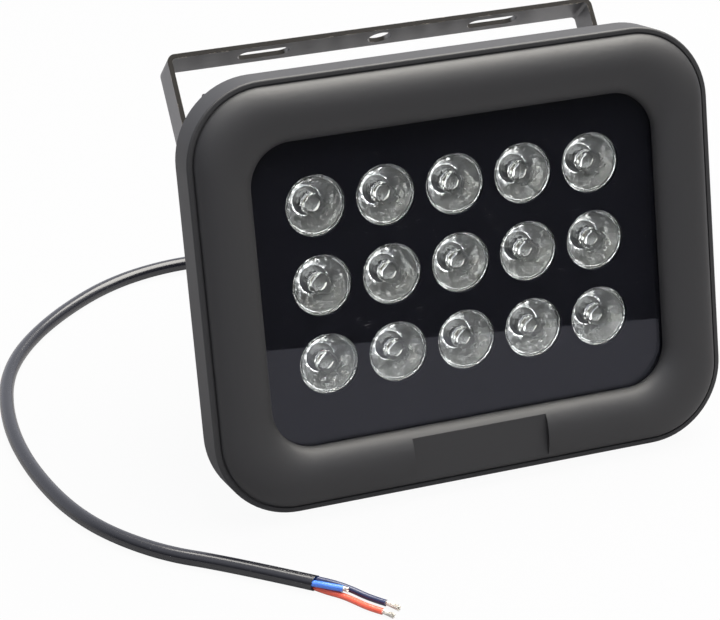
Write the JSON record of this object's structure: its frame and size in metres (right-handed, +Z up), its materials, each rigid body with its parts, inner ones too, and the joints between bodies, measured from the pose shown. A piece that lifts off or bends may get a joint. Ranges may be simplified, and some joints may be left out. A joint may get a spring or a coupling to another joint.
{
  "type": "infrared illuminator",
  "caption": "Weatherproof infrared lamp: moulded bezel, clear window over collimator lenses, finned housing, swinging strap bracket, gland and supply cable.",
  "frame": {"origin": "on the ground, under the middle of the lamp's bounding box as it rests leaned back, the cable left out", "axes": "+X to the right seen from the front, -Y towards the viewer in front of the window, +Z up"},
  "size_m": [0.2295, 0.2446, 0.1399],
  "materials": {
    "bezel": "fine matt",
    "window": "polished",
    "black_plate": "satin",
    "seal_rubber": "matt",
    "board_metal": "white solder mask",
    "housing": "powder coated",
    "circuit_board": "solder mask",
    "coil": "enamelled wire",
    "can": "satin",
    "steel": "zinc plated",
    "gland": "moulded nylon",
    "jacket": "satin",
    "red_core": "satin",
    "black_core": "satin",
    "blue_core": "satin",
    "tinned": "tinned strands",
    "bracket_paint": "satin powder coat",
    "clear_lens": "polished",
    "emitter": "clear dome on a pale base"
  },
  "bodies": {
    "lamp": {"bezel_screws": "steel", "board_screws": "steel", "core_black": "black_core", "core_blue": "blue_core", "core_red": "red_core", "driver_board": "circuit_board", "driver_capacitor": "can", "driver_coil": "coil", "driver_screws": "steel", "front_bezel": "bezel", "front_glass": "window", "gland_body": "gland", "gland_nut": "gland", "gland_seal": "seal_rubber", "gland_washer": "seal_rubber", "glass_gasket": "seal_rubber", "housing_seal": "seal_rubber", "led_01": "emitter", "led_02": "emitter", "led_03": "emitter", "led_04": "emitter", "led_05": "emitter", "led_06": "emitter", "led_07": "emitter", "led_08": "emitter", "led_09": "emitter", "led_10": "emitter", "led_11": "emitter", "led_12": "emitter", "led_13": "emitter", "led_14": "emitter", "led_15": "emitter", "led_board": "board_metal", "led_leads": "red_core", "lens_01": "clear_lens", "lens_02": "clear_lens", "lens_03": "clear_lens", "lens_04": "clear_lens", "lens_05": "clear_lens", "lens_06": "clear_lens", "lens_07": "clear_lens", "lens_08": "clear_lens", "lens_09": "clear_lens", "lens_10": "clear_lens", "lens_11": "clear_lens", "lens_12": "clear_lens", "lens_13": "clear_lens", "lens_14": "clear_lens", "lens_15": "clear_lens", "lens_plate": "black_plate", "pivot_bolts": "steel", "pivot_washers": "steel", "rear_housing": "housing", "spring_washers": "steel", "supply_cable": "jacket", "tip_black": "tinned", "tip_blue": "tinned", "tip_red": "tinned"},
    "bracket": {"bracket": "bracket_paint"}
  },
  "joints": [
    {"name": "bracket_tilt", "type": "hinge", "parent": "lamp", "child": "bracket", "pos_m": [0, -0.00763, 0.06492], "axis": [-1, 0, 0], "range_deg": [-34, 72]}
  ]
}
